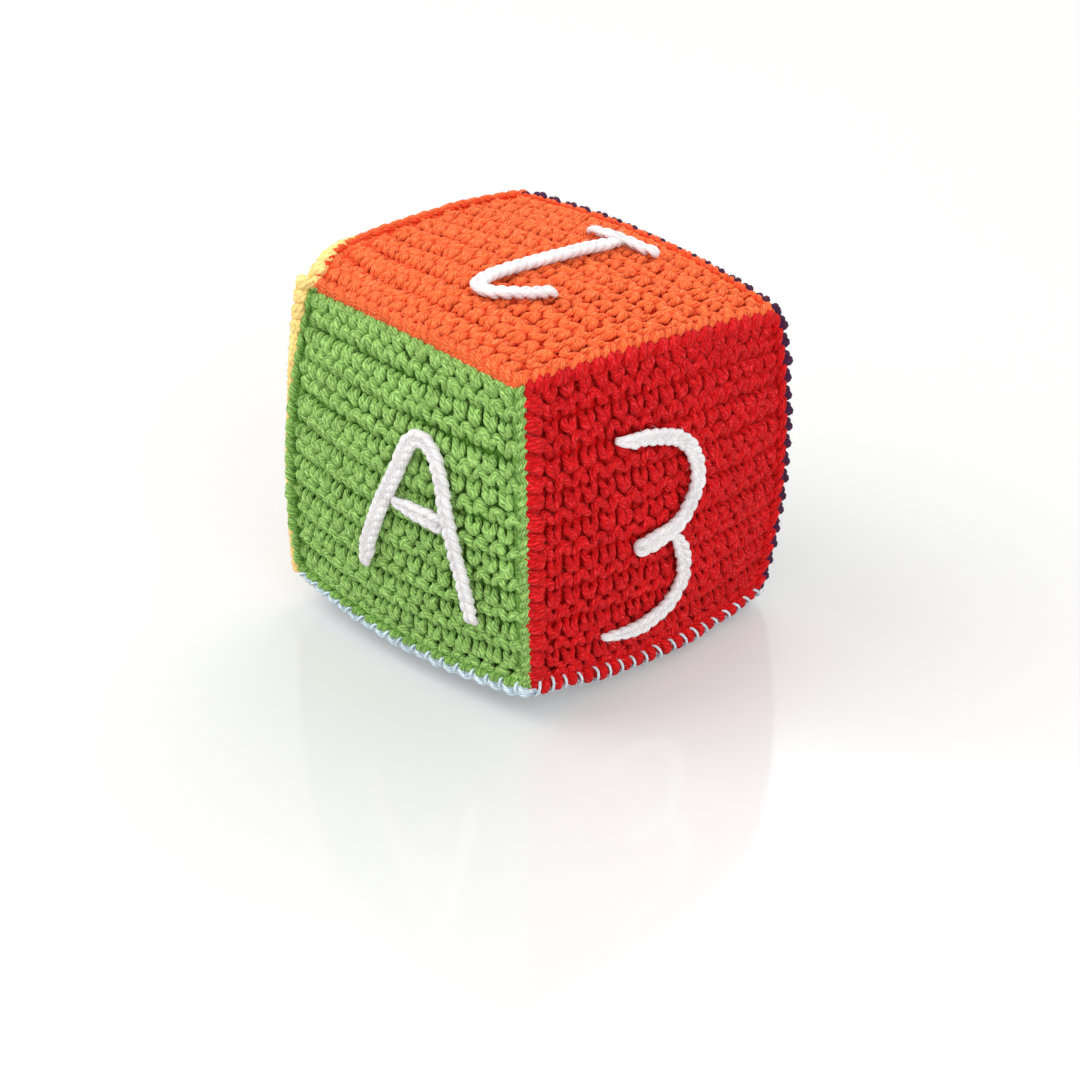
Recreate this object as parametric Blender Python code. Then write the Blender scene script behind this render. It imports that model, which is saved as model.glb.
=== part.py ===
"""Soft crocheted toy block: six crowned panels sewn round a fibre filling, with figures in chain cord.

Run in Blender 4.5. Lengths are in metres and +Z is up. The block rests on its light blue panel, and the
origin is on that panel's flat, under the middle of the block.
"""
import math

import bmesh
import bpy
import numpy as np

MM = 0.001

# Block: its six panels are equal squares, and the filling swells them outwards
PANEL_SIDE = 89.5 * MM  # from corner to corner of a panel, along its seam
SEAM_BOW = 2.9 * MM  # how far the middle of a seam stands out past its two corners
PANEL_CROWN = 2.5 * MM  # how far the middle of a panel stands out past the bows of its seams
REST_FLAT_DEPTH = 1.2 * MM  # how deep the floor presses the underside's crown flat
REST_SEARCH_SHARE = 0.5  # half width of the square in which the underside's lowest point is sought
REST_SEARCH_STEPS = 41
CLEARANCE = 0.3 * MM  # between pieces that touch

# Panel: crocheted fabric, its rows in pairs that stand up as bands with a groove between them
PANEL_THICKNESS = 3.0 * MM
BAND_GROOVE = 1.1 * MM
BAND_COUNT = 9
BAND_LINES = 3  # lines of corners in each band: its groove and its two shoulders
BAND_SHOULDER_SHARE = 0.24  # from the middle of a groove to the band's shoulder
PANEL_COLUMNS = 8

# Filling: a fibre cushion that fills the cover
FILLING_CLEARANCE = 0.5 * MM
FILLING_CUTS = 6

# Seams: whip stitches in yarn over the edges of two panels, one bump for each stitch
SEAM_RADIUS = 2.3 * MM
SEAM_SINK = 0.9 * MM  # how deep the middle of the seam lies below the edge of the block
SEAM_BUMP_RELIEF = 0.7 * MM
SEAM_LEAN = 1.0 * MM  # how far each stitch slants along the seam as it crosses over
SEAM_BUMPS = 16
SEAM_SIDES = 6
SEAM_END_SHARE = 1.25  # length of the plain mitred end, as a share of the radius
CORNER_STEP_SHARE = 0.05  # how far along a seam its direction at the corner is read, in half sides

# Figures: crocheted chain cord, sewn on flat
CORD_WIDTH = 5.2 * MM
CORD_HEIGHT = 2.6 * MM
CORD_SCALLOP = 0.5 * MM  # how far the cord draws in between two chain stitches
CORD_STITCH = 3.7 * MM
CORD_END_SHARE = 0.6
CORD_SECTION_SHARES = ((1.0, -0.1), (0.55, 1.0), (-0.55, 1.0), (-1.0, -0.1), (-0.75, -1.0), (0.75, -1.0))
CORD_TURN_STEPS = 12

# Outward normal, figure's right and figure's up of each panel
PANEL_FRAMES = {
    "green": ((0, -1, 0), (1, 0, 0), (0, 0, 1)),
    "red": ((1, 0, 0), (0, 1, 0), (0, 0, 1)),
    "orange": ((0, 0, 1), (-1, 0, 0), (0, -1, 0)),
    "yellow": ((-1, 0, 0), (0, -1, 0), (0, 0, 1)),
    "purple": ((0, 1, 0), (-1, 0, 0), (0, 0, 1)),
    "blue": ((0, 0, -1), (1, 0, 0), (0, -1, 0)),
}

# Sewn corners pull in or hang unevenly: each corner's shift, as shares of the panel's side
CORNER_SLACK_SHARES = {
    (-1, -1, 1): (0.057, 0.042, 0.008),
    (1, -1, 1): (-0.031, -0.023, 0.016),
    (1, 1, 1): (0.025, -0.007, -0.083),
    (-1, 1, 1): (0.006, -0.024, -0.002),
    (-1, -1, -1): (-0.016, -0.004, 0.030),
    (1, -1, -1): (-0.031, -0.003, 0.029),
    (1, 1, -1): (0.017, -0.025, -0.034),
}

# Each seam: the two panels that it joins and the colour of its yarn
SEAMS = (
    ("green", "orange", "orange"),
    ("red", "orange", "orange"),
    ("purple", "orange", "purple"),
    ("yellow", "orange", "orange"),
    ("green", "red", "green"),
    ("red", "purple", "purple"),
    ("purple", "yellow", "yellow"),
    ("yellow", "green", "yellow"),
    ("green", "blue", "blue"),
    ("red", "blue", "red"),
    ("purple", "blue", "purple"),
    ("yellow", "blue", "yellow"),
)

# Each cord of a figure: its panel, the cords that it stops at, and its route in shares of half a panel
FIGURE_ROUTE_SHARES = {
    "cord_a_legs": ("green", None, None, (
        (-0.17, -0.48), (-0.12, -0.30), (0.01, 0.00), (0.12, 0.22), (0.18, 0.36), (0.25, 0.44),
        (0.33, 0.45), (0.40, 0.39), (0.45, 0.27), (0.50, 0.06), (0.57, -0.20), (0.65, -0.54))),
    "cord_a_bar": ("green", "cord_a_legs", "cord_a_legs", (
        (0.02, 0.03), (0.28, 0.02), (0.52, 0.00))),
    "cord_1_base": ("orange", None, None, (
        (0.12, -0.55), (-0.09, -0.60), (-0.31, -0.64))),
    "cord_1_stem": ("orange", "cord_1_base", None, (
        (-0.11, -0.60), (-0.11, -0.29), (-0.09, 0.01), (-0.06, 0.28), (-0.05, 0.42), (-0.10, 0.51),
        (-0.20, 0.49), (-0.31, 0.40), (-0.41, 0.24))),
    "cord_3_upper": ("red", None, None, (
        (-0.43, 0.52), (-0.30, 0.50), (-0.10, 0.47), (0.05, 0.38), (0.12, 0.22), (0.09, 0.08),
        (0.00, -0.05), (-0.13, -0.11), (-0.30, -0.14))),
    "cord_3_lower": ("red", "cord_3_upper", None, (
        (-0.07, -0.09), (0.01, -0.24), (0.05, -0.38), (0.02, -0.51), (-0.08, -0.61), (-0.26, -0.67),
        (-0.50, -0.66))),
    "cord_b_spine": ("yellow", None, None, (
        (-0.35, -0.58), (-0.36, 0.00), (-0.35, 0.57))),
    "cord_b_upper": ("yellow", "cord_b_spine", "cord_b_spine", (
        (-0.35, 0.49), (-0.10, 0.52), (0.14, 0.45), (0.24, 0.28), (0.14, 0.11), (-0.10, 0.03),
        (-0.36, 0.02))),
    "cord_b_lower": ("yellow", "cord_b_upper", "cord_b_spine", (
        (0.02, 0.06), (0.27, -0.08), (0.37, -0.27), (0.27, -0.44), (0.00, -0.52), (-0.35, -0.51))),
    "cord_2_base": ("purple", None, None, (
        (-0.38, -0.57), (0.00, -0.58), (0.37, -0.56))),
    "cord_2_hook": ("purple", None, "cord_2_base", (
        (-0.33, 0.27), (-0.26, 0.43), (-0.03, 0.53), (0.21, 0.45), (0.29, 0.24), (0.18, 0.00),
        (-0.06, -0.27), (-0.28, -0.57))),
}

# Colours as sRGB, all yarn being matt
YARN_COLOURS = {
    "green": (0.51, 0.68, 0.34),
    "red": (0.76, 0.08, 0.12),
    "orange": (0.95, 0.44, 0.25),
    "yellow": (0.96, 0.82, 0.46),
    "purple": (0.24, 0.10, 0.20),
    "blue": (0.66, 0.79, 0.86),
    "white": (0.93, 0.92, 0.91),
}
YARN_ROUGHNESS = 0.9
CREASE_DEGREES = 50


def clear_objects():
    """Start from an empty scene."""
    for existing in list(bpy.data.objects):
        bpy.data.objects.remove(existing, do_unlink=True)


def yarn_material(node_name, colour_name):
    """Make one piece's own matt yarn material."""
    material = bpy.data.materials.new(node_name)
    material.use_nodes = True
    shader = material.node_tree.nodes["Principled BSDF"]
    linear = [((value + 0.055) / 1.055) ** 2.4 for value in YARN_COLOURS[colour_name]]
    shader.inputs["Base Color"].default_value = (*linear, 1.0)
    shader.inputs["Roughness"].default_value = YARN_ROUGHNESS
    shader.inputs["Metallic"].default_value = 0.0
    return material


def add_piece(name, shape, colour_name):
    """Turn a bmesh into a named, smooth piece with its own material, its faces outwards."""
    bmesh.ops.recalc_face_normals(shape, faces=shape.faces)
    if shape.calc_volume(signed=True) < 0:
        bmesh.ops.reverse_faces(shape, faces=shape.faces)
    mesh = bpy.data.meshes.new(name)
    shape.to_mesh(mesh)
    shape.free()
    mesh.materials.append(yarn_material(name, colour_name))
    mesh.shade_smooth()
    mesh.set_sharp_from_angle(angle=math.radians(CREASE_DEGREES))
    piece = bpy.data.objects.new(name, mesh)
    bpy.context.scene.collection.objects.link(piece)
    return piece


def swollen(cube_points, inset=0.0):
    """Place points of a cube, -1 to 1, on the stuffed block's skin, or on a layer an inset below it.

    Across each direction the skin bows by 1 - p squared of the other two, singly along the seams and
    multiplied together over a panel. Each corner's slack then fades linearly towards its neighbours.
    """
    points = np.asarray(cube_points, dtype=float)
    fall = 1.0 - points**2
    placed = np.empty_like(points)
    for axis in range(3):
        first, second = fall[..., (axis + 1) % 3], fall[..., (axis + 2) % 3]
        reach = PANEL_SIDE / 2 - inset + SEAM_BOW * (first + second) + PANEL_CROWN * first * second
        placed[..., axis] = points[..., axis] * reach
    for corner, shares in CORNER_SLACK_SHARES.items():
        nearness = np.prod((1 + points * np.array(corner)) / 2, axis=-1)
        placed = placed + nearness[..., None] * np.array(shares) * PANEL_SIDE
    return placed


def on_panel(colour_name, across, up):
    """Give the cube point at a place on a panel, in shares of half a panel from its middle."""
    normal, right, top = (np.array(axis, dtype=float) for axis in PANEL_FRAMES[colour_name])
    across, up = np.asarray(across)[..., None], np.asarray(up)[..., None]
    return normal + across * right + up * top


def rest_level():
    """Find the height of the floor below the block's centre, once it has pressed the underside flat."""
    shares = np.linspace(-REST_SEARCH_SHARE, REST_SEARCH_SHARE, REST_SEARCH_STEPS)
    across, up = np.meshgrid(shares, shares)
    lowest = swollen(on_panel("blue", across, up))[..., 2].min()
    return lowest + REST_FLAT_DEPTH


FLOOR = rest_level()


def stood_up(points):
    """Move points from the block's centre frame to the frame with the floor at zero."""
    return points - np.array((0.0, 0.0, FLOOR))


def panel_reach_share():
    """Say how far a panel reaches from its middle, so that its mitred rim just clears the seam's yarn.

    The rim's outer edge lies on a circle round the seam, at the height of the skin.
    """
    clear = SEAM_RADIUS + CLEARANCE
    sink = min(SEAM_SINK, clear / math.sqrt(2))
    rim = sink + math.sqrt(clear**2 - sink**2)
    return 1.0 - rim / (PANEL_SIDE / 2)


def build_panel(colour_name):
    """Crochet panel: a grid laid over the block, grooved between its bands, then thickened inwards."""
    shape = bmesh.new()
    lines = BAND_LINES * BAND_COUNT
    bmesh.ops.create_grid(shape, x_segments=PANEL_COLUMNS, y_segments=lines, size=panel_reach_share())
    front = list(shape.verts)
    grid = np.array([vertex.co[:2] for vertex in front])
    line_number = np.rint((grid[:, 1] / panel_reach_share() + 1) / 2 * lines)
    band, place_in_band = np.divmod(line_number, BAND_LINES)
    shoulder = np.choose(place_in_band.astype(int), (0.0, BAND_SHOULDER_SHARE, 1 - BAND_SHOULDER_SHARE))
    up = (2 * (band + shoulder) / BAND_COUNT - 1) * panel_reach_share()
    cube_points = on_panel(colour_name, grid[:, 0], up)
    groove = np.where(place_in_band == 0, BAND_GROOVE, 0.0)
    inner = stood_up(swollen(cube_points, PANEL_THICKNESS))
    outer = stood_up(swollen(cube_points))
    outer = np.where(outer[:, 2:] > 0, stood_up(swollen(cube_points, groove)), outer)
    outer[:, 2] = np.maximum(outer[:, 2], 0.0)
    grown = bmesh.ops.extrude_face_region(shape, geom=list(shape.faces))
    back = [item for item in grown["geom"] if isinstance(item, bmesh.types.BMVert)]
    order = {tuple(np.round(vertex.co, 6)): index for index, vertex in enumerate(front)}
    for vertex in back:
        vertex.co = inner[order[tuple(np.round(vertex.co, 6))]]
    for index, vertex in enumerate(front):
        vertex.co = outer[index]
    return add_piece("panel_" + colour_name, shape, colour_name)


def build_filling():
    """Fibre filling: the block's own swollen form, inside the panels."""
    shape = bmesh.new()
    bmesh.ops.create_cube(shape, size=2.0)
    bmesh.ops.subdivide_edges(shape, edges=list(shape.edges), cuts=FILLING_CUTS, use_grid_fill=True)
    depth = PANEL_THICKNESS + FILLING_CLEARANCE
    placed = stood_up(swollen([tuple(vertex.co) for vertex in shape.verts], depth))
    for vertex, place in zip(shape.verts, placed):
        vertex.co = place
    return add_piece("filling", shape, "white")


def skin_rings(rings, tips):
    """Skin a row of rings into a tube, and close each end with a fan to its tip."""
    shape = bmesh.new()
    loops = [[shape.verts.new(point) for point in ring] for ring in rings]
    for near, far in zip(loops, loops[1:]):
        for index in range(len(near)):
            following = (index + 1) % len(near)
            shape.faces.new((near[index], near[following], far[following], far[index]))
    for loop, tip in zip((loops[0], loops[-1]), tips):
        centre = shape.verts.new(tip)
        for index in range(len(loop)):
            shape.faces.new((loop[index], loop[(index + 1) % len(loop)], centre))
    return shape


def unit(vectors):
    """Scale vectors to length one."""
    return vectors / np.linalg.norm(vectors, axis=-1, keepdims=True)


def ways_from_corner(corner):
    """Give the directions of the three seams that leave a corner of the block."""
    start = swollen(corner, SEAM_SINK)
    stepped = corner * (1 - CORNER_STEP_SHARE * np.eye(3))
    return unit(swollen(stepped, SEAM_SINK) - start)


def mitred(points, corner, axis):
    """Slide points along their seam to the planes that lie midway to the corner's other two seams."""
    ways = ways_from_corner(corner)
    start = stood_up(swollen(corner, SEAM_SINK))
    slides = []
    for other in np.delete(ways, axis, axis=0):
        midway = unit(ways[axis] - other)
        slides.append((CLEARANCE / 2 - (points - start) @ midway) / (ways[axis] @ midway))
    return points + np.max(slides, axis=0)[..., None] * ways[axis]


def build_seam(first, second, colour_name):
    """Whip-stitched seam: a bumpy tube along the edge, each bump slanted, mitred at both corners."""
    first_normal = np.array(PANEL_FRAMES[first][0], dtype=float)
    second_normal = np.array(PANEL_FRAMES[second][0], dtype=float)
    along = np.cross(first_normal, second_normal)
    axis = int(np.argmax(np.abs(along)))
    half_length = PANEL_SIDE / 2 - SEAM_SINK
    plain_end = SEAM_END_SHARE * SEAM_RADIUS
    bump_marks = np.linspace(plain_end, 2 * half_length - plain_end, 2 * SEAM_BUMPS + 1)
    marks = np.concatenate(([0.0], bump_marks, [2 * half_length]))
    shares = marks / half_length - 1
    line = first_normal + second_normal + shares[:, None] * along
    centres = stood_up(swollen(line, SEAM_SINK))
    tangents = unit(np.gradient(centres, axis=0))
    to_first = unit(first_normal - (tangents @ first_normal)[:, None] * tangents)
    to_second = np.cross(tangents, to_first)
    to_second *= np.sign(to_second @ second_normal)[:, None]
    turn = (np.arange(SEAM_SIDES) + 0.5) * 2 * math.pi / SEAM_SIDES + math.pi / 4
    rings = []
    for number, centre in enumerate(centres):
        is_end = number in (0, len(marks) - 1)
        in_groove = number % 2 == 1 or is_end
        radius = SEAM_RADIUS - SEAM_BUMP_RELIEF if in_groove else SEAM_RADIUS
        toward_first, toward_second = radius * np.cos(turn), radius * np.sin(turn)
        slide = 0 * turn if is_end else SEAM_LEAN * (toward_first - toward_second) / (2 * SEAM_RADIUS)
        rings.append(centre + toward_first[:, None] * to_first[number]
                     + toward_second[:, None] * to_second[number] + slide[:, None] * tangents[number])
    rings[0] = mitred(rings[0], line[0], axis)
    rings[-1] = mitred(rings[-1], line[-1], axis)
    tips = (mitred(centres[0], line[0], axis), mitred(centres[-1], line[-1], axis))
    return add_piece("seam_" + first + "_" + second, skin_rings(rings, tips), colour_name)


def smooth_route(marks, steps):
    """Run a smooth curve through hand-placed marks, each stretch bent by the marks beside it."""
    marks = np.array(marks, dtype=float)
    padded = np.vstack((2 * marks[0] - marks[1], marks, 2 * marks[-1] - marks[-2]))
    share = np.linspace(0, 1, steps, endpoint=False)[:, None]
    stretches = []
    for before, start, end, after in zip(padded, padded[1:], padded[2:], padded[3:]):
        stretch = (start + share * (end - before) / 2
                   + share**2 * (before - 2.5 * start + 2 * end - after / 2)
                   + share**3 * (1.5 * (start - end) + (after - before) / 2))
        stretches.append(stretch)
    return np.vstack((*stretches, marks[-1:]))


def figure_line(cord_name):
    """Give the middle line of a figure's cord on its panel, before its ends are cut back."""
    panel, _, _, marks = FIGURE_ROUTE_SHARES[cord_name]
    route = smooth_route(marks, CORD_TURN_STEPS)
    height = CLEARANCE + CORD_HEIGHT / 2
    return stood_up(swollen(on_panel(panel, route[:, 0], route[:, 1]), -height))


def distances_along(line):
    """Give each point's distance along a line from its start."""
    return np.concatenate(([0.0], np.cumsum(np.linalg.norm(np.diff(line, axis=0), axis=1))))


def cut_back(line, other):
    """Find how much of a line's start to cut, so that its end seats against the side of another cord.

    The end is a flat of known half width that meets the other cord's straight side at an angle.
    """
    gaps = np.linalg.norm(other - line[0], axis=1)
    nearest = min(max(int(np.argmin(gaps)), 1), len(other) - 2)
    other_way = unit(other[nearest + 1] - other[nearest - 1])
    own_way = unit(line[2] - line[0])
    slant = abs(float(own_way @ other_way))
    offset = line[0] - other[nearest]
    reach = np.linalg.norm(offset - (offset @ other_way) * other_way)
    end_half = CORD_END_SHARE * CORD_WIDTH / 2
    wanted = CORD_WIDTH / 2 + CLEARANCE + end_half * slant
    return max((wanted - reach) / math.sqrt(1 - slant**2), 0.0)


def build_cord(cord_name):
    """Chain cord of a figure: a flattened, scalloped tube that follows its route over the panel."""
    panel, start_stop, end_stop, _ = FIGURE_ROUTE_SHARES[cord_name]
    line = figure_line(cord_name)
    marks = distances_along(line)
    first = cut_back(line, figure_line(start_stop)) if start_stop else 0.0
    last = marks[-1] - (cut_back(line[::-1], figure_line(end_stop)) if end_stop else 0.0)
    stitches = max(round((last - first) / CORD_STITCH), 1)
    wanted = np.linspace(first, last, 2 * stitches + 1)
    centres = np.column_stack([np.interp(wanted, marks, line[:, axis]) for axis in range(3)])
    tangents = unit(np.gradient(centres, axis=0))
    outward = np.array(PANEL_FRAMES[panel][0], dtype=float)
    sideways = unit(np.cross(outward, tangents))
    outward = np.cross(tangents, sideways)
    section = np.array(CORD_SECTION_SHARES)
    rings = []
    for number, centre in enumerate(centres):
        between = number % 2 == 0
        half_width = CORD_WIDTH / 2 - (CORD_SCALLOP if between else 0.0)
        height = CORD_HEIGHT - (CORD_SCALLOP if between else 0.0)
        if number in (0, len(centres) - 1):
            half_width = CORD_END_SHARE * CORD_WIDTH / 2
            height = CORD_END_SHARE * CORD_HEIGHT
        lift = (section[:, 1] + 1) / 2 * height - CORD_HEIGHT / 2
        rings.append(centre + half_width * section[:, :1] * sideways[number] + lift[:, None] * outward[number])
    tips = (rings[0].mean(axis=0), rings[-1].mean(axis=0))
    return add_piece(cord_name, skin_rings(rings, tips), "white")


def main():
    """Build the whole block."""
    clear_objects()
    for colour_name in PANEL_FRAMES:
        build_panel(colour_name)
    build_filling()
    for first, second, colour_name in SEAMS:
        build_seam(first, second, colour_name)
    for cord_name in FIGURE_ROUTE_SHARES:
        build_cord(cord_name)


main()
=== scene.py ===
"""Soft crocheted toy block: yarn, seams, figures and filling round the fixed frame.

Laid out as an add-on and run as a script. Lengths are in metres and +Z is up. A place on a panel is given
across and up from its middle, and a height is measured out from the block's swollen skin. A part is a
dictionary of arrays: points, quads, a map along and round the yarn, and the height in mm from which each
point's painted shade is read, which its material reads as its depth: deeper yarn is painted darker.
"""
import math

import bpy
import numpy as np
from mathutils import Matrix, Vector


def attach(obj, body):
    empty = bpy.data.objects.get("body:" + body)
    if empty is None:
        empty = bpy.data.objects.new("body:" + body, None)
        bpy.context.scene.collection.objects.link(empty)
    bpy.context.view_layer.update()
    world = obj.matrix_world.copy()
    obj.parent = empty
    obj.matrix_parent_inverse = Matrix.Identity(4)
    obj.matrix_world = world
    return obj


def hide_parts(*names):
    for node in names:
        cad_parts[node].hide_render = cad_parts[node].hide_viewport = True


bl_info = {
    "name": "Soft crocheted block",
    "version": (1, 0, 0),
    "blender": (4, 5, 0),
    "location": "3D View > Sidebar > Soft block",
    "description": "Crochets, stuffs and sews a soft toy block round its packed frame",
    "category": "Add Mesh",
}

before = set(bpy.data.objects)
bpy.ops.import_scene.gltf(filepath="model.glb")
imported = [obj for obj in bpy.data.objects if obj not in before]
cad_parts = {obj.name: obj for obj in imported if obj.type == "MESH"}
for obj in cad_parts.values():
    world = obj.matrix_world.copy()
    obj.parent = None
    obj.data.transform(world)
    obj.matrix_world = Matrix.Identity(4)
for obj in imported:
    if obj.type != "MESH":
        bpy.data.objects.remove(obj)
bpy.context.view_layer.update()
BODY = "root"
MM = 0.001

# Outward normal, figure's right and figure's up of each panel
PANEL_FRAMES = {panel: np.array(ways, dtype=float) for panel, ways in {
    "green": ((0, -1, 0), (1, 0, 0), (0, 0, 1)),
    "red": ((1, 0, 0), (0, 1, 0), (0, 0, 1)),
    "orange": ((0, 0, 1), (-1, 0, 0), (0, -1, 0)),
    "yellow": ((-1, 0, 0), (0, -1, 0), (0, 0, 1)),
    "purple": ((0, 1, 0), (-1, 0, 0), (0, 0, 1)),
    "blue": ((0, 0, -1), (1, 0, 0), (0, -1, 0)),
}.items()}

# Sewn corners pull in or hang unevenly: each corner's shift, as shares of the panel's side
CORNER_SLACK_SHARES = {
    (-1, -1, 1): (0.057, 0.042, 0.008),
    (1, -1, 1): (-0.031, -0.023, 0.016),
    (1, 1, 1): (0.025, -0.007, -0.083),
    (-1, 1, 1): (0.006, -0.024, -0.002),
    (-1, -1, -1): (-0.016, -0.004, 0.030),
    (1, -1, -1): (-0.031, -0.003, 0.029),
    (1, 1, -1): (0.017, -0.025, -0.034),
}

# The top's left edge stands higher towards the front: its shift along each axis, as shares of the panel's
# side, and how much of that shift there is at places from the front, -1, to the back, 1
RAISED_EDGE_SHARES = (0.002, 0.0, 0.042)
RAISED_EDGE_PLACES = (-1.0, -0.92, -0.84, -0.7, -0.4, 0.0, 1.0)
RAISED_EDGE_AMOUNTS = (0.05, 0.65, 1.15, 1.3, 0.8, 0.37, 0.14)

# Each seam: its two panels, the slot of the yarn that shows most, then the edge stitches of the first panel
# and those of the second. A third set is the second panel's sewing thread, where it shows. A set holds how
# boldly the stitches stand out, how far they spread from the edge, how deep they sink and how thick their
# yarn is, as shares of the yarn's sizes, then their turns for each stitch, below zero the other way round,
# and their strands
SEAMS = (
    ("green", "orange", "orange", (0.60, 1.6, 2.6, 1.0, 1, 2), (0.66, 0.5, 1.0, 0.95, 1, 2)),
    ("red", "orange", "orange", (0.90, 0.8, 0.9, 1.0, -1, 2), (0.55, 0.8, 0.6, 1.0, -1, 2)),
    ("purple", "orange", "purple", (1.10, 0.4, 0.5, 1.0, 1, 2), (0.50, 1.3, 0.6, 0.95, 1, 2)),
    ("yellow", "orange", "orange", (0.30, 0.2, 0.3, 1.8, 1.5, 2), (0.62, 0.6, 0.2, 0.95, 1, 2)),
    ("green", "red", "green", (0.60, 0.1, 1.6, 0.9, 1, 2), (1.10, 1.5, 0.9, 1.1, -1, 2)),
    ("red", "purple", "purple", (0.90, 1.2, 0.6, 1.0, 1, 2), (1.00, 0.5, 0.2, 1.15, -1, 2)),
    ("purple", "yellow", "yellow", (0.80, 1.3, 1.0, 1.0, 1, 2), (1.00, 0.6, 0.8, 1.0, 1, 2)),
    ("yellow", "green", "yellow", (0.30, 0.1, -2.5, 1.8, 1.5, 2), (0.70, 0.7, 0.2, 1.05, -1, 2)),
    ("green", "blue", "blue", (0.70, 1.4, 0.8, 1.0, -1, 2), (0.85, 0.2, 0.4, 0.70, 1, 2),
     (1.20, -0.4, 0.75, 0.33, -1, 1)),
    ("red", "blue", "red", (1.30, 0.9, 0.8, 0.95, 1.12, 2), (0.60, 0.2, 0.6, 0.50, 1, 2),
     (1.65, -0.6, 0.80, 0.33, 1.12, 1)),
    ("purple", "blue", "purple", (0.90, 1.0, 1.0, 1.0, 1, 2), (0.80, 1.0, 1.0, 1.0, 1, 2)),
    ("yellow", "blue", "yellow", (0.90, 1.0, 1.0, 1.0, 1, 2), (0.80, 1.0, 1.0, 1.0, 1, 2)),
)

# The seams whose core is yarn of the first panel, and not of the second
FIRST_CORED_SEAMS = (("green", "red"),)

# A panel's edge stitches that grow bolder or fainter along a seam: their boldness at its start, at a
# quarter, at three fifths and at its end, as shares
EDGING_TAPER_SHARES = {
    ("yellow", "green"): (0.8, 0.2, 0.3, 2.3), ("yellow", "orange"): (2.3, 0.2, 0.1, 0.1),
    ("green", "yellow"): (1.0, 1.1, 1.0, 0.5), ("orange", "yellow"): (0.5, 1.1, 1.0, 0.9),
    ("purple", "orange"): (1.1, 0.75, 0.3, 0.9), ("red", "purple"): (1.2, 1.0, 0.8, 0.9),
    ("blue", "green"): (0.7, 1.0, 1.1, 1.25), ("blue", "red"): (1.35, 1.0, 1.0, 1.0),
    ("orange", "purple"): (0.7, 0.9, 1.15, 1.1),
}
EDGING_TAPER_PLACES = (0.0, 0.25, 0.6, 1.0)

# How far round its line each strand of an edging starts, in turns, by how many strands there are
STRAND_TURNS = {1: (0.43,), 2: (0.0, 0.36)}

# A cord's width where it starts, at three quarters and at its end, as shares of the cord's width
CORD_WIDTH_SHARES = {
    "cord_a_bar": (0.78, 1.12, 1.25), "cord_a_legs": (1.0, 0.94, 0.9), "cord_1_base": (0.66, 0.66, 0.62),
    "cord_1_stem": (0.88, 0.86, 0.8),
    "cord_3_upper": (0.85, 1.0, 1.2), "cord_3_lower": (1.0, 0.85, 0.35),
}
CORD_WIDTH_PLACES = (0.0, 0.75, 1.0)

# How dark each yarn's painted shade is where it lies deep, and how clearly its plies show, in bumps and in
# painted shade between them, as shares
YARN_PAINTED_SHADE_AND_PLIES = {
    "green": (0.45, 0.75), "red": (1.00, 0.55), "orange": (0.90, 0.55), "yellow": (0.95, 0.35),
    "purple": (0.60, 0.60), "blue": (0.60, 0.40), "white": (0.90, 0.15),
}

# Each cord of a figure: its panel, the cords that it stops at, and its route in shares of half a panel
FIGURE_ROUTE_SHARES = {
    "cord_a_legs": ("green", None, None, (
        (-0.17, -0.48), (-0.12, -0.30), (0.01, 0.00), (0.12, 0.22), (0.18, 0.36), (0.25, 0.44),
        (0.33, 0.45), (0.40, 0.39), (0.45, 0.27), (0.50, 0.06), (0.57, -0.20), (0.65, -0.54))),
    "cord_a_bar": ("green", "cord_a_legs", "cord_a_legs", (
        (0.02, 0.03), (0.28, 0.02), (0.52, 0.00))),
    "cord_1_base": ("orange", None, None, (
        (0.12, -0.55), (-0.09, -0.60), (-0.31, -0.64))),
    "cord_1_stem": ("orange", "cord_1_base", None, (
        (-0.11, -0.60), (-0.11, -0.29), (-0.09, 0.01), (-0.06, 0.28), (-0.05, 0.42), (-0.10, 0.51),
        (-0.20, 0.49), (-0.31, 0.40), (-0.41, 0.24))),
    "cord_3_upper": ("red", None, None, (
        (-0.43, 0.52), (-0.30, 0.50), (-0.10, 0.47), (0.05, 0.38), (0.12, 0.22), (0.09, 0.08),
        (0.00, -0.05), (-0.13, -0.11), (-0.30, -0.14))),
    "cord_3_lower": ("red", "cord_3_upper", None, (
        (-0.07, -0.09), (0.01, -0.24), (0.05, -0.38), (0.02, -0.51), (-0.08, -0.61), (-0.26, -0.67),
        (-0.50, -0.66))),
    "cord_b_spine": ("yellow", None, None, (
        (-0.35, -0.58), (-0.36, 0.00), (-0.35, 0.57))),
    "cord_b_upper": ("yellow", "cord_b_spine", "cord_b_spine", (
        (-0.35, 0.49), (-0.10, 0.52), (0.14, 0.45), (0.24, 0.28), (0.14, 0.11), (-0.10, 0.03),
        (-0.36, 0.02))),
    "cord_b_lower": ("yellow", "cord_b_upper", "cord_b_spine", (
        (0.02, 0.06), (0.27, -0.08), (0.37, -0.27), (0.27, -0.44), (0.00, -0.52), (-0.35, -0.51))),
    "cord_2_base": ("purple", None, None, (
        (-0.38, -0.57), (0.00, -0.58), (0.37, -0.56))),
    "cord_2_hook": ("purple", None, "cord_2_base", (
        (-0.33, 0.27), (-0.26, 0.43), (-0.03, 0.53), (0.21, 0.45), (0.29, 0.24), (0.18, 0.00),
        (-0.06, -0.27), (-0.28, -0.57))),
}

# How deep the stitches stand on each panel, as a share of their tables' heights
PANEL_RELIEF_SHARES = {"orange": 0.52}
STITCH_TOP = -0.8 * MM  # the height that the relief is counted from

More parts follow.
